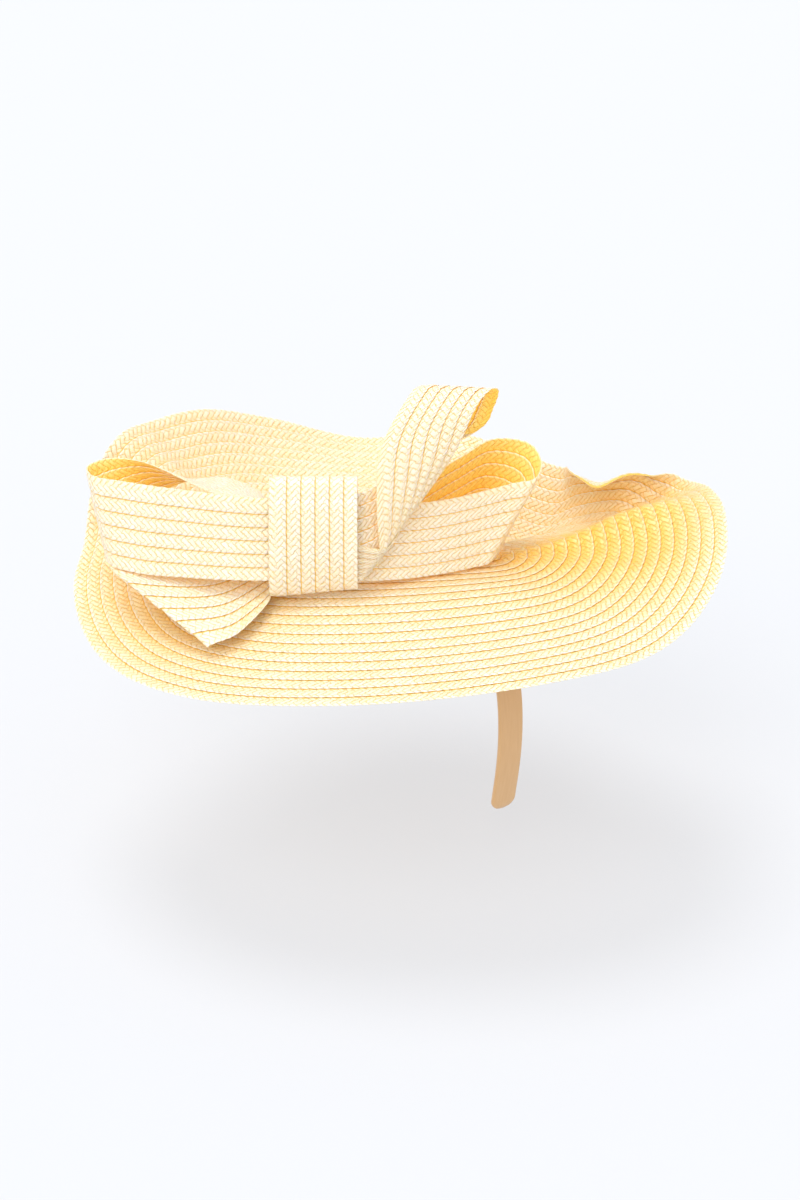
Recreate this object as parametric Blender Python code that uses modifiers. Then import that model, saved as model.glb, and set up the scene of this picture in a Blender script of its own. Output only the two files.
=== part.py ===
"""Fascinator: an oval brim of sewn straw braid, a bow of straw strips and a satin headband.

X runs along the brim to its rolled end, Y across it to the side away from the bow, and Z up
through the crown of the head. The origin is the top of the inside of the headband.
"""

import math

import bmesh
import bpy
import numpy as np

# Straw braid
BRAID_PITCH = 0.00733
STRAW = 0.0012

# Brim
BRIM_ROWS = 18
BRIM_SPINE = 0.048
BRIM_CENTRE_X = -0.025
BRIM_CENTRE_Y = -0.009
SPINE_ROUNDING = 2.2
BRIM_REACH = BRIM_ROWS * BRAID_PITCH

# Bow strips
STRIP_ROWS = 6
STRIP_LAP = 0.003
STRIP_WIDTH = STRIP_ROWS * BRAID_PITCH + STRIP_LAP

# Knot
KNOT_X = -0.071
KNOT_Y = -0.041
KNOT_LIFT = 0.031
KNOT_HALF_LENGTH = 0.031
KNOT_HALF_DEPTH = 0.009
KNOT_WALL = 0.0015
KNOT_TILT = 65.0

# Headband
BAND_WIDTH = 0.015
BAND_THICKNESS = 0.003
BAND_HALF_SPAN = 0.069
BAND_DROP = 0.131
BAND_TURN = 30.0

# The brim lies on the headband, with a little height for its dip behind the middle
SEAT_GAP = 0.0003
DIP_ROOM = 0.0019
BRIM_Z = BAND_THICKNESS + SEAT_GAP + STRAW / 2 + DIP_ROOM

# Share of the reach at which each slope of the brim's table holds
REACH_SHARES = (0.0, 0.25, 0.5, 0.7, 0.85, 1.0)

# The brim's waves, a row per direction round it: heading, then the slope of the straw at each
# share of the reach after the centre, then how far the heading has turned at the edge. Degrees.
BRIM_WAVES = (
    #  head   s25  s50  s70  s85  edge turn
    (0, 10, 15, 14, 14, 18, 6),
    (9, 14, 22, 8, 0, 14, 20),
    (18, 8, 12, -4, 0, 64, 44),
    (26, 3, -3, 0, 40, 180, 40),
    (34, -4, -9, 24, 124, 216, 36),
    (50, -14, -22, 24, 94, 160, 28),
    (62, -30, -22, 28, 54, 70, -16),
    (72, -26, -15, 24, 42, 50, -14),
    (84, -8, -2, 14, 22, 22, -6),
    (96, -2, 0, 4, 8, 10, -4),
    (110, 0, 6, 18, 26, 30, 0),
    (124, 4, 14, 30, 40, 44, 7),
    (138, 10, 17, 30, 38, 40, 14),
    (152, 20, 20, 24, 26, 26, 20),
    (166, 12, 8, -14, -14, -10, 8),
    (182, -4, -5, -10, -11, -12, 3),
    (206, -12, -12, -12, -12, -12, 0),
    (235, -8, -13, -12, -10, -10, -3),
    (262, 0, -13, -9, -6, -5, -4),
    (290, 8, -10, -4, -3, -3, -3),
    (315, 8, -5, -2, -4, -5, 1),
    (340, 10, 5, 8, 6, 5, 2),
)

# Each loop of the bow, a row per ruling across its strip: share of the way along, then the two
# ends of the ruling, each as right, back and up from the knot's middle in strip widths.
UPPER_LEFT_LOOP = (
    # way   one edge               other edge
    (0.00, -0.03, 0.13, 0.46, -0.03, -0.27, -0.39),
    (0.10, -0.55, 0.12, 0.44, -0.55, -0.28, -0.41),
    (0.26, -1.47, 0.34, 0.42, -1.47, -0.11, -0.47),
    (0.38, -2.19, 0.53, 0.43, -2.04, 0.00, -0.47),
    (0.45, -2.56, 0.68, 0.43, -2.32, 0.15, -0.46),
    (0.49, -2.63, 0.86, 0.44, -2.40, 0.34, -0.46),
    (0.53, -2.50, 1.02, 0.44, -2.34, 0.57, -0.44),
    (0.62, -2.04, 1.02, 0.44, -1.92, 0.89, -0.36),
    (0.75, -1.17, 0.51, 0.44, -1.21, 1.28, 0.04),
    (0.87, -0.80, 0.34, 0.42, -0.82, 0.66, 0.00),
    (0.94, -0.56, 0.25, 0.37, -0.56, 0.02, -0.34),
    (1.00, -0.03, 0.27, 0.39, -0.03, -0.13, -0.46),
)
LOWER_LEFT_LOOP = (
    (0.00, -0.36, 0.74, -0.52, -0.60, -0.34, -0.60),
    (0.15, -0.66, 0.52, -0.54, -0.70, -0.46, -0.64),
    (0.30, -1.25, 0.15, -0.57, -0.96, -0.87, -0.76),
    (0.45, -2.04, 0.06, -0.53, -1.32, -1.02, -0.81),
    (0.50, -2.27, 0.10, -0.56, -1.40, -1.04, -0.85),
    (0.55, -2.02, 0.12, -0.62, -1.31, -0.97, -0.89),
    (0.75, -1.25, 0.26, -0.65, -0.87, -0.74, -0.83),
    (1.00, -0.42, 0.70, -0.62, -0.60, -0.30, -0.71),
)
TALL_LOOP = (
    (0.00, 0.03, 0.13, 0.46, 0.03, -0.27, -0.39),
    (0.06, 0.42, 0.13, 0.45, 0.42, -0.27, -0.40),
    (0.09, 0.53, 0.18, 0.50, 0.53, -0.24, -0.40),
    (0.15, 0.64, 0.36, 0.77, 0.66, -0.17, -0.30),
    (0.22, 1.20, 0.48, 0.96, 0.74, -0.12, -0.24),
    (0.27, 1.79, 0.45, 0.94, 0.75, -0.11, -0.15),
    (0.33, 1.85, 0.51, 1.10, 0.72, -0.02, 0.34),
    (0.41, 1.87, 0.62, 1.32, 0.77, 0.30, 1.00),
    (0.47, 1.94, 0.76, 1.38, 1.04, 0.70, 1.37),
    (0.50, 1.97, 0.87, 1.41, 1.14, 0.89, 1.43),
    (0.54, 2.04, 1.04, 1.34, 1.16, 1.06, 1.40),
    (0.63, 2.06, 1.17, 1.06, 0.98, 1.13, 1.14),
    (0.74, 1.50, 1.10, 0.76, 0.74, 0.90, 0.64),
    (0.82, 1.02, 0.66, 0.74, 0.66, 0.20, 0.32),
    (0.89, 0.66, 0.32, 0.56, 0.60, -0.08, -0.24),
    (0.94, 0.50, 0.20, 0.45, 0.50, -0.20, -0.38),
    (1.00, 0.03, 0.18, 0.43, 0.03, -0.22, -0.41),
)
LOWER_RIGHT_LOOP = (
    (0.00, 0.03, 0.22, 0.41, 0.03, -0.18, -0.43),
    (0.10, 0.53, 0.27, 0.30, 0.51, -0.13, -0.50),
    (0.28, 1.51, 0.53, 0.19, 1.30, 0.11, -0.58),
    (0.40, 2.28, 0.79, 0.26, 1.81, 0.30, -0.58),
    (0.47, 2.58, 0.89, 0.30, 2.02, 0.40, -0.56),
    (0.51, 2.63, 1.09, 0.36, 2.12, 0.62, -0.55),
    (0.56, 2.55, 1.30, 0.46, 2.15, 0.94, -0.50),
    (0.66, 2.11, 1.47, 0.49, 1.91, 1.30, -0.45),
    (0.78, 1.64, 1.21, 0.36, 1.47, 1.04, -0.50),
    (0.88, 0.92, 0.57, 0.25, 0.84, 0.35, -0.52),
    (0.94, 0.53, 0.29, 0.35, 0.53, -0.08, -0.46),
    (1.00, 0.03, 0.27, 0.39, 0.03, -0.13, -0.46),
)

# Half of the headband's arch: share of the way, then shares of the half span, drop and width
HEADBAND_ARCH = (
    (0.00, 0.00, 0.00, 1.00),
    (0.20, 0.40, -0.03, 1.00),
    (0.40, 0.74, -0.15, 1.00),
    (0.60, 0.96, -0.37, 1.00),
    (0.75, 1.00, -0.57, 1.00),
    (0.90, 0.96, -0.80, 1.00),
    (0.95, 0.93, -0.89, 1.00),
    (1.00, 0.90, -0.98, 0.60),
)

BRIM_HEADINGS = 90
BRIM_RINGS = 18
STRIP_STATIONS = 60
STRIP_LANES = 3
KNOT_POINTS = 40
BAND_STATIONS = 40


def smooth_rows(at, keys, rows, period=0.0):
    """Rows of a table read at any place along it, on a smooth curve through every row."""
    keys = np.asarray(keys, float)
    rows = np.asarray(rows, float)
    at = np.asarray(at, float)
    if period:
        keys = np.concatenate([keys - period, keys, keys + period])
        rows = np.concatenate([rows, rows, rows])
        at = np.mod(at, period)
    slopes = np.gradient(rows, keys, axis=0)
    before = np.clip(np.searchsorted(keys, at, side="right") - 1, 0, len(keys) - 2)
    step = (keys[before + 1] - keys[before])[:, None]
    t = (at - keys[before])[:, None] / step
    start = (2 * t**3 - 3 * t**2 + 1) * rows[before]
    leave = (t**3 - 2 * t**2 + t) * step * slopes[before]
    end = (3 * t**2 - 2 * t**3) * rows[before + 1]
    arrive = (t**3 - t**2) * step * slopes[before + 1]
    return start + leave + end + arrive


def brim_points(headings, rings):
    """Middle surface of the brim, one line of points outwards for each heading in degrees."""
    waves = np.array(BRIM_WAVES, float)
    rows = smooth_rows(headings, waves[:, 0], waves[:, 1:], 360.0)
    shares = np.linspace(0.0, 1.0, rings + 1)
    at_shares = np.concatenate([np.zeros((len(headings), 1)), rows[:, :5]], axis=1)
    slope = np.radians(smooth_rows(shares, REACH_SHARES, at_shares.T).T)
    heading = np.radians(headings[:, None] + rows[:, 5:6] * shares**3)
    way = np.stack(
        [np.cos(slope) * np.cos(heading), np.cos(slope) * np.sin(heading), np.sin(slope)], axis=-1
    )
    steps = (way[:, 1:] + way[:, :-1]) / 2 * BRIM_REACH / rings
    points = np.concatenate([np.zeros_like(way[:, :1]), np.cumsum(steps, axis=1)], axis=1)
    along = np.tanh(SPINE_ROUNDING * np.cos(np.radians(headings))) / math.tanh(SPINE_ROUNDING)
    points[..., 0] += BRIM_SPINE * along[:, None]
    return points + np.array([BRIM_CENTRE_X, BRIM_CENTRE_Y, BRIM_Z])


def strip_points(table, stations, lanes):
    """Middle surface of a bow strip: straight rulings between its two edges."""
    table = np.array(table, float)
    edges = smooth_rows(np.linspace(0.0, 1.0, stations + 1), table[:, 0], table[:, 1:])
    across = np.linspace(0.0, 1.0, lanes + 1)[None, :, None]
    shares = edges[:, None, :3] * (1 - across) + edges[:, None, 3:] * across
    middle = np.array([KNOT_X, KNOT_Y, BRIM_Z + KNOT_LIFT])
    return shares * STRIP_WIDTH + middle


def grid_mesh(name, points, closed_round=False):
    """Mesh of an open grid of points, joined round its first direction if closed_round."""
    count, width = points.shape[:2]
    mesh = bpy.data.meshes.new(name)
    last = count if closed_round else count - 1
    faces = []
    for i in range(last):
        j = (i + 1) % count
        for k in range(width - 1):
            faces.append((i * width + k, j * width + k, j * width + k + 1, i * width + k + 1))
    mesh.from_pydata(points.reshape(-1, 3).tolist(), [], faces)
    return mesh


def weld(mesh, distance=0.00001):
    """Join the points of a mesh that lie in one place and drop the faces that vanish."""
    shape = bmesh.new()
    shape.from_mesh(mesh)
    bmesh.ops.remove_doubles(shape, verts=shape.verts, dist=distance)
    bmesh.ops.recalc_face_normals(shape, faces=shape.faces)
    shape.to_mesh(mesh)
    shape.free()


def material(name, colour, roughness):
    """Principled material of one colour."""
    made = bpy.data.materials.new(name)
    made.use_nodes = True
    shader = made.node_tree.nodes["Principled BSDF"]
    shader.inputs["Base Color"].default_value = (*colour, 1.0)
    shader.inputs["Roughness"].default_value = roughness
    shader.inputs["Metallic"].default_value = 0.0
    return made


def add_object(name, mesh, collection, finish):
    """Object of a mesh in the fascinator's collection, shaded smooth."""
    made = bpy.data.objects.new(name, mesh)
    collection.objects.link(made)
    mesh.materials.append(finish)
    mesh.shade_smooth()
    return made


def thicken(made, thickness, offset=0.0):
    """Give an open surface its thickness."""
    shell = made.modifiers.new("thickness", "SOLIDIFY")
    shell.thickness = thickness
    shell.offset = offset
    shell.use_even_offset = True


def add_brim(collection):
    """Oval brim of straw braid with its waves and its rolled back right edge."""
    headings = np.arange(BRIM_HEADINGS) * 360.0 / BRIM_HEADINGS
    mesh = grid_mesh("saucer", brim_points(headings, BRIM_RINGS), closed_round=True)
    weld(mesh)
    finish = material("straw_brim", (0.90, 0.68, 0.33), 0.55)
    made = add_object("saucer", mesh, collection, finish)
    thicken(made, STRAW)
    return made


def add_strip(name, table, collection):
    """One loop of the bow."""
    mesh = grid_mesh(name, strip_points(table, STRIP_STATIONS, STRIP_LANES))
    finish = material("straw_" + name, (0.92, 0.72, 0.40), 0.55)
    made = add_object(name, mesh, collection, finish)
    thicken(made, STRAW)
    return made


def add_knot(collection):
    """Flat ring of straw wrapped round the middle of the bow, its axis along X."""
    turn = np.arange(KNOT_POINTS) * 2 * math.pi / KNOT_POINTS
    tilt = math.radians(KNOT_TILT)
    long_way = np.array([0.0, math.cos(tilt), math.sin(tilt)])
    short_way = np.array([0.0, -math.sin(tilt), math.cos(tilt)])
    ring = (
        np.cos(turn)[:, None] * KNOT_HALF_LENGTH * long_way
        + np.sin(turn)[:, None] * KNOT_HALF_DEPTH * short_way
    )
    points = np.repeat(ring[:, None], 2, axis=1)
    points[:, 0, 0] = -STRIP_WIDTH / 2
    points[:, 1, 0] = STRIP_WIDTH / 2
    mesh = grid_mesh("knot", points, closed_round=True)
    finish = material("straw_knot", (0.92, 0.74, 0.44), 0.55)
    made = add_object("knot", mesh, collection, finish)
    made.location = (KNOT_X, KNOT_Y, BRIM_Z + KNOT_LIFT)
    thicken(made, KNOT_WALL, offset=1.0)
    return made


def add_headband(collection):
    """Springy band over the head, its ends hanging below the brim."""
    table = np.array(HEADBAND_ARCH)
    side = np.linspace(-1.0, 1.0, BAND_STATIONS + 1)
    half = smooth_rows(np.abs(side), table[:, 0], table[:, 1:])
    out = np.sign(side) * half[:, 0] * BAND_HALF_SPAN
    points = np.zeros((len(side), 3, 3))
    points[..., 1] = -out[:, None]
    points[..., 2] = half[:, 1:2] * BAND_DROP
    points[..., 0] = half[:, 2:3] * np.array([-0.5, 0.0, 0.5]) * BAND_WIDTH
    mesh = grid_mesh("headband", points)
    finish = material("satin_headband", (0.72, 0.46, 0.25), 0.35)
    made = add_object("headband", mesh, collection, finish)
    made.rotation_euler = (0.0, 0.0, math.radians(BAND_TURN))
    thicken(made, BAND_THICKNESS, offset=1.0)
    return made


def clear_scene():
    """Start from an empty scene."""
    for old in list(bpy.data.objects):
        bpy.data.objects.remove(old, do_unlink=True)


def main():
    """Build every piece of the fascinator."""
    clear_scene()
    collection = bpy.data.collections.new("fascinator")
    bpy.context.scene.collection.children.link(collection)
    add_brim(collection)
    add_headband(collection)
    add_knot(collection)
    add_strip("upper_left_loop", UPPER_LEFT_LOOP, collection)
    add_strip("lower_left_loop", LOWER_LEFT_LOOP, collection)
    add_strip("tall_loop", TALL_LOOP, collection)
    add_strip("lower_right_loop", LOWER_RIGHT_LOOP, collection)


main()
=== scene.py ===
"""Looks of the fascinator: sewn rows of plaited straw, a looped bow and a satin headband."""

import logging
import math
from dataclasses import dataclass, field
from enum import Enum

import bpy
import numpy as np
from mathutils import Matrix


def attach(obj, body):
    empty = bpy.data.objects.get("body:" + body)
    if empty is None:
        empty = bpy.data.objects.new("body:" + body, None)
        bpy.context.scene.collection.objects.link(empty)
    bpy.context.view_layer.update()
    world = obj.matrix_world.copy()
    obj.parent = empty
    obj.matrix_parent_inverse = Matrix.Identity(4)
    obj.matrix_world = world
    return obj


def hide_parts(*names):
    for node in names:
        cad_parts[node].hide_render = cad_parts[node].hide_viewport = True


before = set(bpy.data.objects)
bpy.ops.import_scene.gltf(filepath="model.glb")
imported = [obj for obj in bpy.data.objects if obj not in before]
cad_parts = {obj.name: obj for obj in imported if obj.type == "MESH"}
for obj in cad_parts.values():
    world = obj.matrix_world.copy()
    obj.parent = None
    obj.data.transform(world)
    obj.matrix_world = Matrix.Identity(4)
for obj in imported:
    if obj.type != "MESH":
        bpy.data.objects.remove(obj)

log = logging.getLogger("fascinator")

MM = 0.001

# Neighbouring rows differ in shade by this step, counted round from 0 to 1
TONE_STEP = 0.618

# Points on a line before it is divided into equal steps
FINE_POINTS = 2001

Colour = tuple[float, float, float, float]
Point = tuple[float, float, float]
Table = tuple[tuple[float, ...], ...]
Socket = bpy.types.NodeSocket


class Slot(Enum):
    """Names of the record's material slots."""

    BRIM = "straw_brim"
    BOW = "straw_bow"
    BAND = "satin_headband"


# Share of the brim's reach at which each slope of its table holds
REACH_SHARES = (0.0, 0.25, 0.5, 0.7, 0.85, 1.0)

# The brim's waves, a row per direction: heading, slope at each share, turn of the heading. Degrees.
BRIM_WAVES = (
    #  head   s25  s50  s70  s85  edge turn
    (0, 10, 15, 14, 14, 18, 6),
    (9, 14, 22, 8, 0, 14, 20),
    (18, 8, 12, -4, 0, 64, 44),
    (26, 3, -3, 0, 40, 160, 40),
    (34, -4, -9, 24, 110, 180, 36),
    (50, -14, -22, 24, 94, 155, 28),
    (62, -30, -22, 28, 54, 70, -16),
    (72, -26, -15, 24, 42, 50, -14),
    (84, -8, -2, 14, 22, 22, -6),
    (96, -2, 0, 4, 8, 10, -4),
    (110, 0, 6, 18, 26, 30, 0),
    (124, 4, 14, 30, 40, 44, 7),
    (138, 10, 17, 30, 38, 40, 14),
    (152, 20, 20, 24, 26, 26, 20),
    (166, 12, 8, -14, -14, -10, 8),
    (182, -4, -5, -10, -11, -12, 3),
    (206, -12, -12, -12, -12, -12, 0),
    (235, -8, -13, -12, -10, -10, -3),
    (262, 0, -13, -9, -6, -5, -4),
    (290, 8, -10, -4, -3, -3, -3),
    (315, 8, -5, -2, -4, -5, 1),
    (340, 10, 5, 8, 6, 5, 2),
)

# How much painted shade the brim gets, a row per direction: heading, then painted shade at the
# middle, halfway, near the edge and at the edge, from 0 for lit pale straw to 1 for deep gold
BRIM_PAINTED_SHADE = (
    (0, 0.95, 0.95, 0.75, 0.35),
    (14, 0.90, 0.95, 0.75, 0.40),
    (28, 0.75, 0.70, 0.45, 0.20),
    (50, 0.60, 0.40, 0.30, 0.15),
    (80, 0.60, 0.40, 0.25, 0.15),
    (115, 0.50, 0.25, 0.15, 0.15),
    (150, 0.50, 0.35, 0.30, 0.20),
    (185, 0.55, 0.60, 0.50, 0.25),
    (220, 0.65, 0.65, 0.40, 0.20),
    (255, 0.60, 0.22, 0.10, 0.06),
    (290, 0.60, 0.22, 0.10, 0.06),
    (320, 0.85, 0.60, 0.25, 0.10),
    (342, 0.95, 0.90, 0.60, 0.20),
)
PAINTED_SHADE_SHARES = (0.0, 0.5, 0.85, 1.0)

# Each loop of the bow, a row per ruling across its strip: share of the way along, then the two
# ends of the ruling, each as right, back and up from the knot's middle in strip widths.
UPPER_LEFT_LOOP = (
    (0.00, -0.03, 0.13, 0.46, -0.03, -0.27, -0.39),
    (0.10, -0.55, 0.12, 0.44, -0.55, -0.28, -0.41),
    (0.26, -1.47, 0.34, 0.42, -1.47, -0.11, -0.47),
    (0.38, -2.19, 0.53, 0.43, -2.04, 0.00, -0.47),
    (0.45, -2.56, 0.68, 0.43, -2.32, 0.15, -0.46),
    (0.49, -2.63, 0.86, 0.44, -2.40, 0.34, -0.46),
    (0.53, -2.50, 1.02, 0.44, -2.34, 0.57, -0.44),
    (0.62, -2.04, 1.02, 0.44, -1.86, 1.12, -0.10),
    (0.75, -1.17, 0.34, 0.40, -1.21, 1.27, 0.06),
    (0.87, -0.80, 0.23, 0.38, -0.80, 1.09, 0.05),
    (0.94, -0.56, 0.18, 0.34, -0.56, 0.82, -0.02),
    (1.00, -0.03, 0.27, 0.39, -0.03, -0.13, -0.46),
)
LOWER_LEFT_LOOP = (
    (0.00, -0.36, 0.74, -0.52, -0.50, -0.40, -0.62),
    (0.15, -0.66, 0.52, -0.54, -0.64, -0.64, -0.68),
    (0.30, -1.25, 0.15, -0.57, -0.86, -0.88, -0.77),
    (0.45, -2.11, 0.06, -0.48, -1.10, -1.00, -0.81),
    (0.50, -2.36, 0.10, -0.46, -1.16, -1.00, -0.84),
    (0.55, -2.11, 0.15, -0.54, -1.08, -0.84, -0.87),
    (0.75, -1.25, 0.28, -0.62, -0.82, -0.44, -0.75),
    (1.00, -0.42, 0.70, -0.62, -0.60, -0.24, -0.69),
)
TALL_LOOP = (
    (0.00, 0.03, -0.06, 0.08, 0.03, -0.27, -0.39),
    (0.06, 0.42, -0.08, 0.00, 0.42, -0.27, -0.40),
    (0.09, 0.55, -0.09, -0.06, 0.52, -0.26, -0.41),
    (0.15, 0.85, -0.06, -0.10, 0.60, -0.22, -0.36),
    (0.22, 1.08, 0.20, 0.17, 0.70, -0.15, -0.26),
    (0.27, 1.33, 0.35, 0.46, 0.75, -0.11, -0.12),
    (0.33, 1.61, 0.45, 0.88, 0.72, -0.02, 0.34),
    (0.41, 1.81, 0.62, 1.27, 0.77, 0.30, 1.00),
    (0.47, 1.92, 0.76, 1.38, 1.04, 0.70, 1.37),
    (0.50, 2.00, 0.87, 1.41, 1.14, 0.89, 1.43),
    (0.54, 2.09, 1.04, 1.34, 1.26, 1.06, 1.38),
    (0.63, 2.06, 1.24, 1.00, 1.14, 1.13, 1.08),
    (0.74, 1.84, 1.18, 0.72, 0.92, 0.90, 0.62),
    (0.82, 1.16, 0.66, 0.68, 0.80, 0.20, 0.20),
    (0.89, 0.76, 0.30, 0.54, 0.74, -0.08, -0.30),
    (0.94, 0.50, 0.20, 0.45, 0.50, -0.20, -0.38),
    (1.00, 0.03, 0.18, 0.43, 0.03, -0.22, -0.41),
)
LOWER_RIGHT_LOOP = (
    (0.00, 0.03, 0.22, 0.41, 0.03, -0.18, -0.43),
    (0.10, 0.53, 0.27, 0.30, 0.51, -0.13, -0.50),
    (0.28, 1.51, 0.53, 0.19, 1.30, 0.11, -0.58),
    (0.40, 2.28, 0.79, 0.26, 1.81, 0.30, -0.58),
    (0.47, 2.58, 0.89, 0.30, 2.02, 0.40, -0.56),
    (0.51, 2.63, 1.09, 0.36, 2.12, 0.62, -0.55),
    (0.56, 2.55, 1.30, 0.46, 2.15, 0.94, -0.50),
    (0.66, 2.11, 1.47, 0.49, 1.91, 1.30, -0.45),
    (0.78, 1.64, 1.21, 0.36, 1.47, 1.04, -0.50),
    (0.88, 0.92, 0.57, 0.25, 0.84, 0.35, -0.52),
    (0.94, 0.53, 0.29, 0.35, 0.53, -0.08, -0.46),
    (1.00, 0.03, 0.27, 0.39, 0.03, -0.13, -0.46),
)

# Half of the headband's arch: share of the way, then shares of the half span, drop and width
HEADBAND_ARCH = (
    (0.00, 0.00, 0.00, 1.00),
    (0.20, 0.40, -0.03, 1.00),
    (0.40, 0.74, -0.15, 1.00),
    (0.60, 0.96, -0.37, 1.00),
    (0.75, 1.00, -0.57, 1.00),
    (0.90, 0.96, -0.80, 1.00),
    (0.95, 0.93, -0.89, 1.00),
    (1.00, 0.90, -0.98, 0.60),
)

# Cross-section of one braid row, a closed loop: share of the half width, share of the thickness
BRAID_SECTION = (
    (-1.00, 0.00),
    (-0.95, 0.34),
    (-0.72, 0.50),
    (-0.36, 0.56),
    (0.00, 0.58),
    (0.36, 0.56),
    (0.72, 0.50),
    (0.95, 0.34),
    (1.00, 0.00),
    (0.93, -0.36),
    (0.45, -0.50),
    (-0.45, -0.50),
    (-0.93, -0.36),
)


def smooth_rows(at: np.ndarray, keys: np.ndarray, rows: np.ndarray, period: float = 0.0) -> np.ndarray:
    """Rows of a table read at any place, on the cubic Hermite curve through every row.

    Args:
        at: places to read, one each.
        keys: the place of each row of the table.
        rows: the values of the table.
        period: length after which the table repeats, or 0.

    Returns:
        One row of values for each place.
    """
    keys, rows, at = (np.asarray(x, float) for x in (keys, rows, at))
    if period:
        keys = np.concatenate([keys - period, keys, keys + period])
        rows = np.concatenate([rows, rows, rows])
        at = np.mod(at, period)
    slopes = np.gradient(rows, keys, axis=0)
    before = np.clip(np.searchsorted(keys, at, side="right") - 1, 0, len(keys) - 2)
    step = (keys[before + 1] - keys[before])[:, None]
    t = (at - keys[before])[:, None] / step
    start = (2 * t**3 - 3 * t**2 + 1) * rows[before]
    leave = (t**3 - 2 * t**2 + t) * step * slopes[before]
    end = (3 * t**2 - 2 * t**3) * rows[before + 1]
    arrive = (t**3 - t**2) * step * slopes[before + 1]
    return start + leave + end + arrive


def unit(vectors: np.ndarray) -> np.ndarray:
    """Vectors scaled to length one."""
    return vectors / np.maximum(np.linalg.norm(vectors, axis=-1, keepdims=True), 1e-12)


def run_length(line: np.ndarray) -> np.ndarray:
    """Distance along a line of points, from its first point."""
    return np.concatenate([[0.0], np.cumsum(np.linalg.norm(np.diff(line, axis=0), axis=1))])


def read_across(values: np.ndarray, places: np.ndarray) -> np.ndarray:
    """Grid values read between its columns, as a straight blend of the two neighbours.

    Args:
        values: grid of vectors, rows by columns.
        places: column numbers to read, whole or between two.

    Returns:
        Grid of vectors, rows by places.
    """
    left = np.clip(np.floor(places).astype(int), 0, values.shape[1] - 2)
    share = (places - left)[None, :, None]
    return values[:, left] * (1 - share) + values[:, left + 1] * share


def row_tone(row: int, start: float = 0.0) -> float:
    """Shade of a row of braid from 0 to 1."""
    return (row * TONE_STEP + start) % 1.0


def signed_volume(points: np.ndarray, quads: np.ndarray) -> float:
    """Volume inside a closed set of faces, below zero if they point inwards."""
    a, b, c, d = (points[quads[:, k]] for k in range(4))
    both = np.einsum("ij,ij->i", a, np.cross(b, c)) + np.einsum("ij,ij->i", a, np.cross(c, d))
    return float(both.sum())


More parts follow.
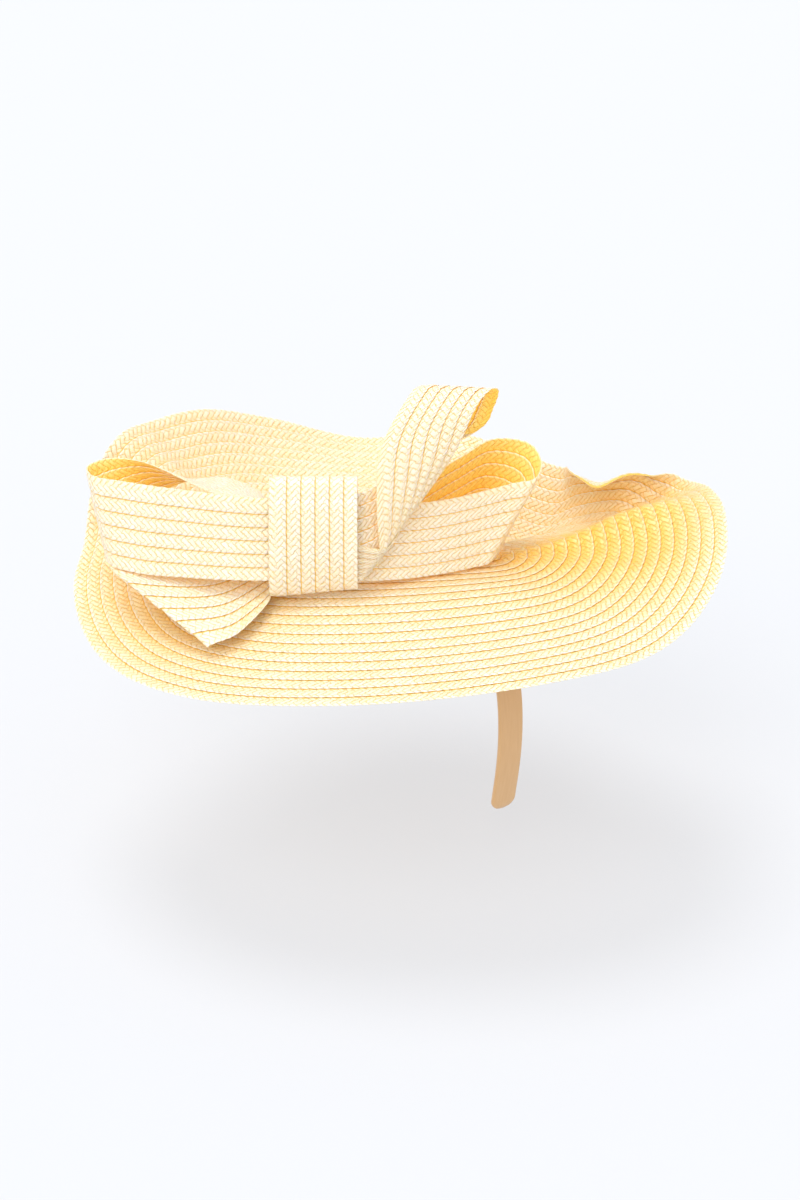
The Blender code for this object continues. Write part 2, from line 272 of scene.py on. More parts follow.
@dataclass
class MeshParts:
    """Points, four-sided faces and face-corner coordinates that add up to one mesh."""

    points: list[np.ndarray] = field(default_factory=list)
    quads: list[np.ndarray] = field(default_factory=list)
    plait: list[np.ndarray] = field(default_factory=list)
    tone: list[np.ndarray] = field(default_factory=list)
    painted_shade: list[np.ndarray] = field(default_factory=list)
    seam_shadow: list[np.ndarray] = field(default_factory=list)
    count: int = 0

    def add_tube(self, rings: np.ndarray, along: np.ndarray, across: np.ndarray, tone: float,
                 closed: bool, painted_shade: np.ndarray | float = 0.0, seam_shadow: np.ndarray | float = 1.0,
                 faces: np.ndarray | float = 1.0) -> None:
        """Add a tube of cross-section rings, joined end to end if closed, else capped.

        Args:
            rings: points, station by station round the section.
            along: distance along the tube at each station, one more than the stations if closed.
            across: distance across the braid at each point of the section.
            tone: shade of this row from 0 to 1.
            closed: whether the last station joins the first.
            painted_shade: painted shade, which turns the straw deep gold, one value or one for each
                point.
            seam_shadow: 1 at points of the section near a sewn edge, where a painted shadow line goes,
                0 near a free one.
            faces: 1 or -1 for each side of the section, the way its distance across counts.
        """
        stations, size = rings.shape[:2]
        last = stations if closed else stations - 1
        here = np.arange(last)[:, None] * size
        there = (np.arange(1, last + 1) % stations)[:, None] * size
        point, following = np.arange(size)[None, :], (np.arange(size) + 1)[None, :] % size
        quads = np.stack([here + point, there + point, there + following, here + following], -1)
        shape = (last, size)
        s0, s1 = (np.broadcast_to(x[:, None], shape) for x in (along[:last], along[1:last + 1]))
        t0, t1 = (np.broadcast_to(faces * x, shape) for x in (across, np.roll(across, -1)))
        plait = np.stack([s0, t0, s1, t0, s1, t1, s0, t1], -1).reshape(-1, 4, 2)
        quads = quads.reshape(-1, 4)
        if not closed:
            quads, plait = self._with_caps(quads, plait, stations, size, along, across)
        flat = rings.reshape(-1, 3)
        if signed_volume(flat, quads) < 0:
            quads, plait = quads[:, ::-1], plait[:, ::-1]
        self.points.append(flat)
        self.quads.append(quads + self.count)
        self.plait.append(plait)
        self.tone.append(np.full(len(flat), tone))
        self.painted_shade.append(np.broadcast_to(painted_shade, (stations, size)).ravel())
        self.seam_shadow.append(np.broadcast_to(seam_shadow, (stations, size)).ravel())
        self.count += len(flat)

    @staticmethod
    def _with_caps(quads: np.ndarray, plait: np.ndarray, stations: int, size: int,
                   along: np.ndarray, across: np.ndarray) -> tuple[np.ndarray, np.ndarray]:
        """Close both ends with a ladder of faces between the section's two sides.

        Args:
            quads: faces of the open tube.
            plait: their corners' coordinates.
            stations: number of rings.
            size: number of points in a ring.
            along: distance along the tube at each station.
            across: distance across the braid at each point of the section.

        Returns:
            Faces and corner coordinates with those of the two caps added.
        """
        low = np.arange(size // 2)
        high = (size - 1 - low) % size
        step = np.stack([low[:-1], low[1:], high[1:], high[:-1]], -1)
        step = step[(step[:, 0] != step[:, 3]) | (step[:, 1] != step[:, 2])]
        base = (stations - 1) * size
        caps = np.concatenate([step, base + step[:, ::-1]])
        ends = np.repeat([along[0], along[-1]], len(step))
        corner = np.stack([np.broadcast_to(ends[:, None], caps.shape), across[caps % size]], -1)
        return np.concatenate([quads, caps]), np.concatenate([plait, corner])

    def build(self, name: str) -> bpy.types.Object:
        """Make the mesh object, smooth, with its plait coordinates and point values.

        Args:
            name: name of the object.

        Returns:
            The object, in the scene's collection.
        """
        points, quads = np.concatenate(self.points), np.concatenate(self.quads)
        mesh = bpy.data.meshes.new(name)
        mesh.vertices.add(len(points))
        mesh.vertices.foreach_set("co", points.astype(np.float32).ravel())
        mesh.loops.add(quads.size)
        mesh.loops.foreach_set("vertex_index", quads.astype(np.int32).ravel())
        mesh.polygons.add(len(quads))
        mesh.polygons.foreach_set("loop_start", np.arange(0, quads.size, 4, dtype=np.int32))
        mesh.update(calc_edges=True)
        layer = mesh.uv_layers.new(name="Plait")
        layer.data.foreach_set("uv", np.concatenate(self.plait).astype(np.float32).ravel())
        values = {"row_tone": self.tone, "painted_shade": self.painted_shade, "seam_shadow": self.seam_shadow}
        for key, value in values.items():
            layer = mesh.attributes.new(key, "FLOAT", "POINT")
            layer.data.foreach_set("value", np.concatenate(value).astype(np.float32))
        mesh.shade_smooth()
        made = bpy.data.objects.new(name, mesh)
        bpy.context.scene.collection.objects.link(made)
        return made


class Nodes:
    """Short way to lay out a material's nodes."""

    def __init__(self, name: str) -> None:
        """Start an empty Principled material of that name."""
        self.material = bpy.data.materials.new(name)
        self.material.use_nodes = True
        self.tree = self.material.node_tree
        self.shader = self.tree.nodes["Principled BSDF"]

    def add(self, kind: str, **values: object) -> bpy.types.Node:
        """New node of a kind, with its settings."""
        node = self.tree.nodes.new(kind)
        for key, value in values.items():
            setattr(node, key, value)
        return node

    def put(self, socket: Socket, value: object) -> None:
        """Link a socket to another, or set its value."""
        if isinstance(value, Socket):
            self.tree.links.new(value, socket)
        else:
            socket.default_value = value

    def math(self, operation: str, *values: object, clamp: bool = False) -> Socket:
        """Result of a Math node."""
        node = self.add("ShaderNodeMath", operation=operation, use_clamp=clamp)
        for socket, value in zip(node.inputs, values):
            self.put(socket, value)
        return node.outputs[0]

    def mix(self, share: object, first: object, second: object) -> Socket:
        """Colour between two colours."""
        node = self.add("ShaderNodeMix", data_type="RGBA")
        self.put(node.inputs["Factor"], share)
        self.put(node.inputs[6], first)
        self.put(node.inputs[7], second)
        return node.outputs[2]

    def blend(self, share: object, first: object, second: object) -> Socket:
        """Number between two numbers."""
        node = self.add("ShaderNodeMix", data_type="FLOAT")
        self.put(node.inputs[0], share)
        self.put(node.inputs[2], first)
        self.put(node.inputs[3], second)
        return node.outputs[0]

    def ramp(self, value: object, ends: tuple[float, float]) -> Socket:
        """Smooth step from 0 at the first end to 1 at the second."""
        node = self.add("ShaderNodeMapRange", interpolation_type="SMOOTHSTEP")
        self.put(node.inputs["Value"], value)
        node.inputs["From Min"].default_value, node.inputs["From Max"].default_value = ends
        return node.outputs["Result"]

    def noise(self, place: object, scale: float, detail: float = 2.0) -> Socket:
        """Noise from 0 to 1 at a place."""
        node = self.add("ShaderNodeTexNoise")
        self.put(node.inputs["Vector"], place)
        node.inputs["Scale"].default_value = scale
        node.inputs["Detail"].default_value = detail
        return node.outputs["Fac"]

    def attribute(self, name: str) -> Socket:
        """Value of a mesh's attribute."""
        return self.add("ShaderNodeAttribute", attribute_name=name).outputs["Fac"]

    def centred(self, value: object, reach: float) -> Socket:
        """Value from 0 to 1 moved to lie round zero, times a reach."""
        return self.math("MULTIPLY", self.math("SUBTRACT", value, 0.5), reach)

    def plait_place(self) -> tuple[Socket, Socket, Socket]:
        """Plait coordinates: both together, along and across, in millimetres."""
        uv = self.add("ShaderNodeUVMap", uv_map="Plait").outputs[0]
        split = self.add("ShaderNodeSeparateXYZ")
        self.put(split.inputs[0], uv)
        return uv, split.outputs[0], split.outputs[1]

    def vector(self, x: object, y: object, z: object = 0.0) -> Socket:
        """Vector of three numbers."""
        node = self.add("ShaderNodeCombineXYZ")
        for socket, value in zip(node.inputs, (x, y, z)):
            self.put(socket, value)
        return node.outputs[0]

    def bump(self, height: object, distance: float, strength: float) -> None:
        """Relief of the surface from a height."""
        node = self.add("ShaderNodeBump")
        node.inputs["Strength"].default_value = strength
        node.inputs["Distance"].default_value = distance
        self.put(node.inputs["Height"], height)
        self.tree.links.new(node.outputs[0], self.shader.inputs["Normal"])


@dataclass(frozen=True)
class Weave:
    """What the plait is like at a place: relief, place across the straw, fibre and straw number."""

    height: Socket
    middle: Socket
    fibre: Socket
    straw: Socket


@dataclass(frozen=True)
class StrawFinish:
    """Plaited straw: two crossing sets of split straws, each over two and under two.

    Widths and edges are in millimetres across a row, shares and strengths are from 0 to 1.
    """

    name: str
    # Colours: lit straw first, then straw under painted shade, then painted shade between straws, the
    # painted shadow line at a sewn edge and the painted highlight on a raised edge
    lit_palest: Colour = (0.995, 0.88, 0.735, 1.0)
    pale: Colour = (0.99, 0.77, 0.48, 1.0)
    shaded_golden: Colour = (0.99, 0.64, 0.13, 1.0)
    deep: Colour = (0.98, 0.51, 0.04, 1.0)
    crevice_shade: Colour = (0.92, 0.47, 0.03, 1.0)
    shadow: Colour = (0.94, 0.6, 0.16, 1.0)
    seam_shadow: Colour = (0.99, 0.66, 0.13, 1.0)
    rim_highlight: Colour = (0.995, 0.92, 0.8, 1.0)
    plait: float = 3.7
    lean: float = 1.0
    drift: float = 2.0
    drift_scale: float = 0.35
    stray_scale: float = 0.9
    cloud_scale: float = 24.0
    tint_share: float = 0.55
    fibre_share: float = 0.35
    row_share: float = 0.12
    cloud_share: float = 0.5
    # Painted shade across each row, and the strength of the painted glow
    fluted_shade: float = -0.05
    painted_glow: float = 0.0
    # Painted shade between straws, the painted shadow line at a sewn edge and the painted highlight on
    # a raised edge
    gap_shade_height: float = 0.5
    gap_shade_strength: float = 1.6
    line_shade_edge: tuple[float, float] = (0.66, 0.92)
    line_shade_strength: float = 0.85
    seam_shadow_edge: tuple[float, float] = (-2.1, -2.5)
    rim_highlight_edge: tuple[float, float] = (3.6, 4.3)
    rim_highlight_strength: float = 0.5
    roughness: float = 0.26
    uneven_gloss: float = 0.2
    gloss: float = 0.8
    sheen: float = 0.1
    see_through: float = 0.3
    see_through_depth: float = 2 * MM
    see_through_colour: Point = (0.9, 0.7, 0.3)
    relief: float = 0.5 * MM
    fibre_relief: float = 0.12

    def weave(self, n: Nodes) -> Weave:
        """Lay out the plait.

        The place is read from the piece's plait coordinates s and t, which wander a little. Each
        set of straws is a row of stripes, a = (s + lean t) / plait and b = (s - lean t) / plait.
        The first set is on top where the stripe numbers differ by 0 or 1 in every four, and the
        relief is highest in the middle of the part of a straw that lies on top.

        Args:
            n: nodes of the material.

        Returns:
            The plait at the shaded place.
        """
        uv, along, across = n.plait_place()
        s = n.math("ADD", along, n.centred(n.noise(uv, self.drift_scale, 1.0), self.drift))
        t = n.math("ADD", across, n.centred(n.noise(uv, self.stray_scale, 1.0), self.drift))
        t = n.math("MULTIPLY", t, self.lean)
        a = n.math("DIVIDE", n.math("ADD", s, t), self.plait)
        b = n.math("DIVIDE", n.math("SUBTRACT", s, t), self.plait)
        fa, fb = n.math("FRACT", a), n.math("FRACT", b)
        ia, ib = n.math("FLOOR", a), n.math("FLOOR", b)
        turn = n.math("FLOORED_MODULO", n.math("ADD", n.math("SUBTRACT", ia, ib), 0.25), 4.0)
        turn = n.math("FLOOR", turn)
        on_top = n.math("LESS_THAN", turn, 1.5)
        run_a = n.math("MULTIPLY", n.math("ADD", n.math("SUBTRACT", 1.0, turn), fb), 0.5)
        run_b = n.math("MULTIPLY", n.math("ADD", n.math("SUBTRACT", turn, 2.0), fa), 0.5)
        run = n.blend(on_top, run_b, run_a)
        side = n.blend(on_top, fb, fa)
        second_set = 500.0
        straw = n.blend(on_top, n.math("ADD", ib, second_set), ia)
        crown = n.math("SINE", n.math("MULTIPLY", run, math.pi))
        middle = n.math("SUBTRACT", n.math("MULTIPLY", side, 2.0), 1.0)
        round_side = n.math("SUBTRACT", 1.0, n.math("POWER", n.math("ABSOLUTE", middle), 4.0))
        height = n.math("MULTIPLY", round_side, n.math("ADD", n.math("MULTIPLY", crown, 0.6), 0.4))
        place = n.vector(n.math("MULTIPLY", side, 7.0), n.math("MULTIPLY", run, 0.8), straw)
        return Weave(height, middle, n.noise(place, 1.6, 3.0), straw)

    def painted_shade(self, n: Nodes, across: Socket) -> Socket:
        """How much shade is painted as deep gold: the mesh's own value, plus painted shade across the
        row.
        """
        # Painted shade across each row: more at the lowered edge that lies under its neighbour, less
        # at the raised one
        fluted_shade = n.math("MULTIPLY", across, self.fluted_shade)
        return n.math("ADD", n.attribute("painted_shade"), fluted_shade, clamp=True)

    def shade(self, n: Nodes, weave: Weave) -> Socket:
        """How dark the straw is among its own kind: the straw, its fibres, its row and its place."""
        tint = n.add("ShaderNodeTexWhiteNoise", noise_dimensions="1D")
        n.put(tint.inputs["W"], weave.straw)
        cloud = n.noise(n.add("ShaderNodeTexCoord").outputs["Object"], self.cloud_scale, 3.0)
        shade = n.math("ADD", n.math("MULTIPLY", tint.outputs["Value"], self.tint_share),
                       n.math("MULTIPLY", weave.fibre, self.fibre_share))
        shade = n.math("ADD", shade, n.math("MULTIPLY", n.attribute("row_tone"), self.row_share))
        return n.math("ADD", shade, n.centred(cloud, self.cloud_share), clamp=True)

    def colour(self, n: Nodes, weave: Weave, across: Socket, painted_shade: Socket) -> Socket:
        """Mix the colour.

        Args:
            n: nodes of the material.
            weave: the plait at the shaded place.
            across: distance across the row.
            painted_shade: painted shade, which turns the straw deep gold.

        Returns:
            Straw colour with painted shade between straws, a painted shadow at the sewn edge and a
            painted highlight on the raised one.
        """
        shade = self.shade(n, weave)
        # Lit straw turns deep gold under painted shade; in each pair of colours the straws differ at
        # random
        colour = n.mix(painted_shade, n.mix(shade, self.lit_palest, self.pale),
                       n.mix(shade, self.shaded_golden, self.deep))
        # Painted shade in the gaps where a straw dips under others, and along the sides of each straw
        below = n.math("SUBTRACT", self.gap_shade_height, weave.height)
        gap_shade = n.math("MULTIPLY", below, self.gap_shade_strength, clamp=True)
        line = n.ramp(n.math("ABSOLUTE", weave.middle), self.line_shade_edge)
        painted_gap_shade = n.math("MAXIMUM", gap_shade, n.math("MULTIPLY", line, self.line_shade_strength))
        colour = n.mix(painted_gap_shade, colour, n.mix(painted_shade, self.shadow, self.crevice_shade))
        # Painted shadow line along the lowered edge of a row, beside the edge of the neighbour lying
        # over it
        painted_seam_shadow = n.math("MULTIPLY", n.ramp(across, self.seam_shadow_edge), n.attribute("seam_shadow"))
        # Painted highlight along the raised edge of a row
        raised = n.math("MULTIPLY", n.ramp(across, self.rim_highlight_edge), self.rim_highlight_strength)
        colour = n.mix(painted_seam_shadow, colour, n.mix(painted_shade, self.seam_shadow, self.crevice_shade))
        return n.mix(raised, colour, n.mix(painted_shade, self.rim_highlight, self.pale))

    def build(self) -> bpy.types.Material:
        """Make the material, which reads a mesh's plait coordinates, row_tone, painted shade and sewn
        edges for the painted shadow line.
        """
        n = Nodes(self.name)
        weave = self.weave(n)
        across = n.plait_place()[2]
        painted_shade = self.painted_shade(n, across)
        colour = self.colour(n, weave, across, painted_shade)
        uneven = n.math("MULTIPLY", weave.fibre, self.uneven_gloss)
        sockets = n.shader.inputs
        n.put(sockets["Base Color"], colour)
        # Painted glow: straw under painted shade glows a little, as if light came through it
        n.put(sockets["Emission Color"], colour)
        n.put(sockets["Emission Strength"], n.math("MULTIPLY", painted_shade, self.painted_glow))
        n.put(sockets["Roughness"], n.math("ADD", uneven, self.roughness))
        n.put(sockets["Subsurface Weight"], self.see_through)
        n.put(sockets["Subsurface Scale"], self.see_through_depth)
        n.put(sockets["Subsurface Radius"], self.see_through_colour)
        n.put(sockets["Sheen Weight"], self.sheen)
        n.put(sockets["Specular IOR Level"], self.gloss)
        fibres = n.math("MULTIPLY", weave.fibre, self.fibre_relief)
        n.bump(n.math("ADD", weave.height, fibres), self.relief, 1.0)
        return n.material


@dataclass(frozen=True)
class SatinFinish:
    """Satin ribbon: long floats along the band over a fine weave. Thread is in millimetres."""

    name: str
    colour: Colour = (0.66, 0.38, 0.16, 1.0)
    light: Colour = (0.74, 0.46, 0.22, 1.0)
    thread: float = 0.22
    pick: float = 0.66
    stretch: tuple[float, float] = (0.02, 0.3)
    roughness: float = 0.28
    uneven_gloss: float = 0.12
    grain: float = 0.4
    sheen: float = 0.35
    relief: float = 0.03 * MM

    def build(self) -> bpy.types.Material:
        """Make the material: stripes of thread across the band, slightly uneven, and a sheen."""
        n = Nodes(self.name)
        _, along, across = n.plait_place()
        threads = n.math("SINE", n.math("MULTIPLY", across, 2 * math.pi / self.thread))
        picks = n.math("SINE", n.math("MULTIPLY", along, 2 * math.pi / self.pick))
        place = n.vector(n.math("MULTIPLY", along, self.stretch[0]),
                         n.math("MULTIPLY", across, self.stretch[1]))
        wave = n.noise(place, 3.0, 3.0)
        sockets = n.shader.inputs
        n.put(sockets["Base Color"], n.mix(wave, self.colour, self.light))
        n.put(sockets["Roughness"],
              n.math("ADD", n.math("MULTIPLY", wave, self.uneven_gloss), self.roughness))
        n.put(sockets["Anisotropic"], self.grain)
        n.put(sockets["Sheen Weight"], self.sheen)
        n.put(sockets["Sheen Roughness"], 0.4)
        relief = n.math("ADD", n.math("MULTIPLY", threads, 0.4), n.math("MULTIPLY", picks, 0.3))
        n.bump(relief, self.relief, 0.6)
        return n.material


@dataclass(frozen=True)
class FloorFinish:
    """Plain pale floor that glows a little, so that shadows stay light."""

    colour: Colour = (0.37, 0.375, 0.385, 1.0)
    glow_colour: Colour = (0.93, 0.95, 1.0, 1.0)
    glow: float = 0.455
    mottling: float = 0.01

    def build(self) -> bpy.types.Material:
        """Make the material: even and matte, with the faintest mottling."""
        n = Nodes("pale_floor")
        mottle = n.noise(n.add("ShaderNodeTexCoord").outputs["Object"], 3.0)
        darker = tuple((1 - self.mottling) * part for part in self.colour[:3]) + (1.0,)
        sockets = n.shader.inputs
        n.put(sockets["Base Color"], n.mix(mottle, self.colour, darker))
        n.put(sockets["Emission Color"], self.glow_colour)
        n.put(sockets["Emission Strength"], self.glow)
        n.put(sockets["Roughness"], 0.9)
        n.put(sockets["Specular IOR Level"], 0.1)
        return n.material


@dataclass(frozen=True)
class Braid:
    """One row of plaited straw braid and how the rows overlap where they are sewn.

    Pitch is from row to row, lap is how far one lies over the next, lift is how much its upper
    edge is raised, and the knuckles are the bulges where straws turn back at the edges.
    """

    pitch: float = 7.33 * MM
    lap: float = 1.7 * MM
    thickness: float = 0.75 * MM
    lift: float = 0.46 * MM
    knuckle: float = 5.4 * MM
    puff: float = 0.20 * MM
    scallop: float = 0.16 * MM
    station: float = 1.25 * MM

    def section(self) -> tuple[np.ndarray, np.ndarray]:
        """Shares of the half width and of the thickness at each point of the cross-section."""
        table = np.array(BRAID_SECTION)
        return table[:, 0], table[:, 1]

    def places_in_strip(self, row: int, rows: int, width: float) -> tuple[np.ndarray, float]:
        """Where a row lies in a strip of several rows.

        Args:
            row: number of the row from the strip's first edge.
            rows: number of rows in the strip.
            width: width of the strip.

        Returns:
            Distance from the first edge at each point of the section, and the row's half width.
        """
        pitch = (width - self.lap) / rows
        half = (pitch + self.lap) / 2
        share, _ = self.section()
        return row * pitch + half + share * half, half

    def lay(self, parts: MeshParts, middle: np.ndarray, normal: np.ndarray, along: np.ndarray,
            half: float, over: float, tone: float, closed: bool, side: np.ndarray,
            painted_shade: np.ndarray | float = 0.0, sewn: tuple[bool, bool] = (True, True)) -> None:
        """Lay one row on a surface, tilted so that one edge is over the next row.

        Each point is the surface point plus its normal times height, and height is the tilt
        (over times lift times the share across) plus the section plus a small puff per knuckle.

        Args:
            parts: mesh that the row is added to.
            middle: surface points, stations by section points.
            normal: surface normals at the same places.
            along: distance along the row at each station, in metres.
            half: half width of the row.
            over: 1 if the last edge lies on top, -1 if the first does.
            tone: shade of the row.
            closed: whether the row joins itself.
            side: unit vectors across the row at each station, for the scalloped edges.
            painted_shade: painted shade, which turns the straw deep gold, one value or one for each
                point.
            sewn: whether the first and the last edge are sewn to other rows and get a painted shadow
                line.
        """
        share, rise = self.section()
        whole = along[-1] if closed else 0.0
        knuckle = whole / max(1, round(whole / self.knuckle)) if closed else self.knuckle
        phase = 2 * np.pi * along[:len(middle), None] / knuckle
        puff = self.puff * np.cos(phase + np.pi * (share > 0)) * (1 - share**2) * np.sign(rise)
        height = over * self.lift * share + rise * self.thickness + puff
        edge = self.scallop * np.cos(phase + np.pi * (share > 0)) * share**5
        rings = middle + normal * height[..., None] + side[:, None] * edge[..., None]
        faces = np.where(rise + np.roll(rise, -1) > 0, 1.0, -1.0)
        parts.add_tube(rings, along / MM, over * share * half / MM, tone, closed, painted_shade,
                       np.where(share < 0, *np.array(sewn, float)), faces)


@dataclass
class Brim:
    """Oval brim of sewn rows, waved, with its back right edge rolled forwards."""

    braid: Braid
    finish: bpy.types.Material
    rows: int = 18
    spine: float = 48 * MM
    centre: tuple[float, float, float] = (-25 * MM, -9 * MM, 6 * MM)
    rounding: float = 2.2
    fineness: int = 10
    groups: int = 3

    fine_headings: int = 1441
    first_edge: float = 0.15 * MM

    def surface(self, headings: np.ndarray) -> np.ndarray:
        """Middle surface, a line of points outwards for each heading.

        Slope and heading are read from the waves' table at each share of the reach, and the line
        is the running sum of equal steps in that direction, so its length is always the reach.
        The start of each line lies along the spine, at tanh of the heading's cosine.

        Args:
            headings: directions round the brim, in degrees.

        Returns:
            Points, headings by steps outwards.
        """
        steps = self.rows * self.fineness
        waves = np.array(BRIM_WAVES, float)
        rows = smooth_rows(headings, waves[:, 0], waves[:, 1:], 360.0)
        shares = np.linspace(0.0, 1.0, steps + 1)
        at_shares = np.concatenate([np.zeros((len(headings), 1)), rows[:, :5]], axis=1)
        slope = np.radians(smooth_rows(shares, REACH_SHARES, at_shares.T).T)
        heading = np.radians(headings[:, None] + rows[:, 5:6] * shares**3)
        way = np.stack([np.cos(slope) * np.cos(heading), np.cos(slope) * np.sin(heading),
                        np.sin(slope)], axis=-1)
        moves = (way[:, 1:] + way[:, :-1]) / 2 * self.rows * self.braid.pitch / steps
        points = np.concatenate([np.zeros_like(way[:, :1]), np.cumsum(moves, axis=1)], axis=1)
        along = np.tanh(self.rounding * np.cos(np.radians(headings))) / math.tanh(self.rounding)
        points[..., 0] += self.spine * along[:, None]
        return points + np.array(self.centre)

    def even_headings(self, row: int) -> np.ndarray:
        """Headings in degrees at equal steps along one row, counted from the middle."""
        fine = np.linspace(0.0, 360.0, self.fine_headings)
        line = self.surface(fine)[:, int((row + 0.5) * self.fineness)]
        run = run_length(line)
        count = int(run[-1] / self.braid.station)
        return np.interp(np.arange(count) / count * run[-1], run, fine)

    def painted_shade(self, headings: np.ndarray, places: np.ndarray) -> np.ndarray:
        """How much shade is painted on the straw, as deep gold, at each heading and place.

        Args:
            headings: directions round the brim, in degrees.
            places: numbers of the steps outwards.

        Returns:
            Values from 0 to 1, headings by places.
        """
        table = np.array(BRIM_PAINTED_SHADE, float)
        at_heading = smooth_rows(headings, table[:, 0], table[:, 1:], 360.0)
        reach = np.clip(places / (self.rows * self.fineness), 0.0, 1.0)
        return np.clip(smooth_rows(reach, PAINTED_SHADE_SHARES, at_heading.T).T, 0.0, 1.0)

    def lay_row(self, parts: MeshParts, row: int) -> None:
        """Add one row of braid to a mesh.

        The normal is the cross product of the ways outwards and round.

        Args:
            parts: mesh that the row is added to.
            row: number of the row from the middle.
        """
        headings = self.even_headings(row)
        grid = self.surface(headings)
        round_way = np.roll(grid, -1, axis=0) - np.roll(grid, 1, axis=0)
        outwards = np.gradient(grid, axis=1)
        normal = unit(np.cross(outwards, round_way))
        normal[:, 0] = normal[:, 1]
        share, _ = self.braid.section()
        first = max(row * self.braid.pitch - self.braid.lap, self.first_edge)
        last = (row + 1) * self.braid.pitch
        half = (last - first) / 2
        places = (first + half + share * half) / self.braid.pitch * self.fineness
        middle = read_across(grid, places)
        top = len(share) // 3
        along = run_length(np.concatenate([middle[:, top], middle[:1, top]]))
        side = unit(read_across(outwards, places)[:, top])
        self.braid.lay(parts, middle, unit(read_across(normal, places)), along, half, 1.0,
                       row_tone(row), True, side, self.painted_shade(headings, places))

    def build(self) -> list[bpy.types.Object]:
        """Make the brim as a few nested pieces, each some rows wide, and return them."""
        made = []
        for rows in np.array_split(np.arange(self.rows), self.groups):
            parts = MeshParts()
            for row in rows:
                self.lay_row(parts, int(row))
            piece = parts.build(f"brim_rows_{rows[0] + 1}_to_{rows[-1] + 1}")
            dress(piece, self.finish, "saucer")
            made.append(piece)
        return made


@dataclass
class BowStrip:
    """One loop of the bow: a strip of sewn braid rows carried along straight rulings.

    Over is 1 where each row's last edge lies on top, and -1 where its first does. The outer
    and inner painted shade turn the straw deep gold, most inside the loop, where it is shaded.
    """

    name: str
    table: Table
    braid: Braid
    finish: bpy.types.Material
    rows: int = 6
    width: float = 46.98 * MM
    middle: tuple[float, float, float] = (-71 * MM, -41 * MM, 37 * MM)
    over: float = 1.0
    outer_painted_shade: float = 0.10
    inner_painted_shade: float = 0.95
    first_tone: float = 0.3

    def edges(self, ways: np.ndarray) -> tuple[np.ndarray, np.ndarray]:
        """The two edges of the strip.

        Args:
            ways: shares of the way along the loop.

        Returns:
            Both ends of the ruling at each share.
        """
        table = np.array(self.table, float)
        ends = smooth_rows(ways, table[:, 0], table[:, 1:]) * self.width
        return ends[:, :3] + np.array(self.middle), ends[:, 3:] + np.array(self.middle)

    def even_ways(self) -> np.ndarray:
        """Shares of the way at equal steps along the strip's centre line."""
        fine = np.linspace(0.0, 1.0, FINE_POINTS)
        first, second = self.edges(fine)
        run = np.maximum(run_length(first), 1e-9) + run_length(second)
        count = int(run[-1] / 2 / self.braid.station)
        return np.interp(np.linspace(0.0, run[-1], count + 1), run, fine)

    def build(self) -> bpy.types.Object:
        """Make the loop's strip.

        A point is the first edge plus a share of the ruling, and the normal is the cross product
        of the direction along the strip with the ruling. The side that faces away from the
        middle of the loop is its outside.

        Returns:
            The strip as one piece.
        """
        first, second = self.edges(self.even_ways())
        ruling = second - first
        share, rise = self.braid.section()
        centre = (first.mean(axis=0) + second.mean(axis=0)) / 2
        parts = MeshParts()
        for row in range(self.rows):
            places, half = self.braid.places_in_strip(row, self.rows, self.width)
            middle = first[:, None] + ruling[:, None] * (places / self.width)[None, :, None]
            normal = unit(np.cross(np.gradient(middle, axis=0), ruling[:, None]))
            along = run_length(middle[:, len(share) // 3])
            outside = np.sign(np.einsum("ijk,ijk->ij", middle - centre, normal)) * np.sign(rise)
            # Painted shade: deeper inside the loop, where the loop shades itself
            painted_shade = np.where(outside < 0, self.inner_painted_shade, self.outer_painted_shade)
            self.braid.lay(parts, middle, normal, along, half, self.over,
                           row_tone(row, self.first_tone), False, unit(ruling), painted_shade,
                           (row > 0, row < self.rows - 1))
        piece = parts.build(self.name + "_braid")
        dress(piece, self.finish, self.name)
        return piece


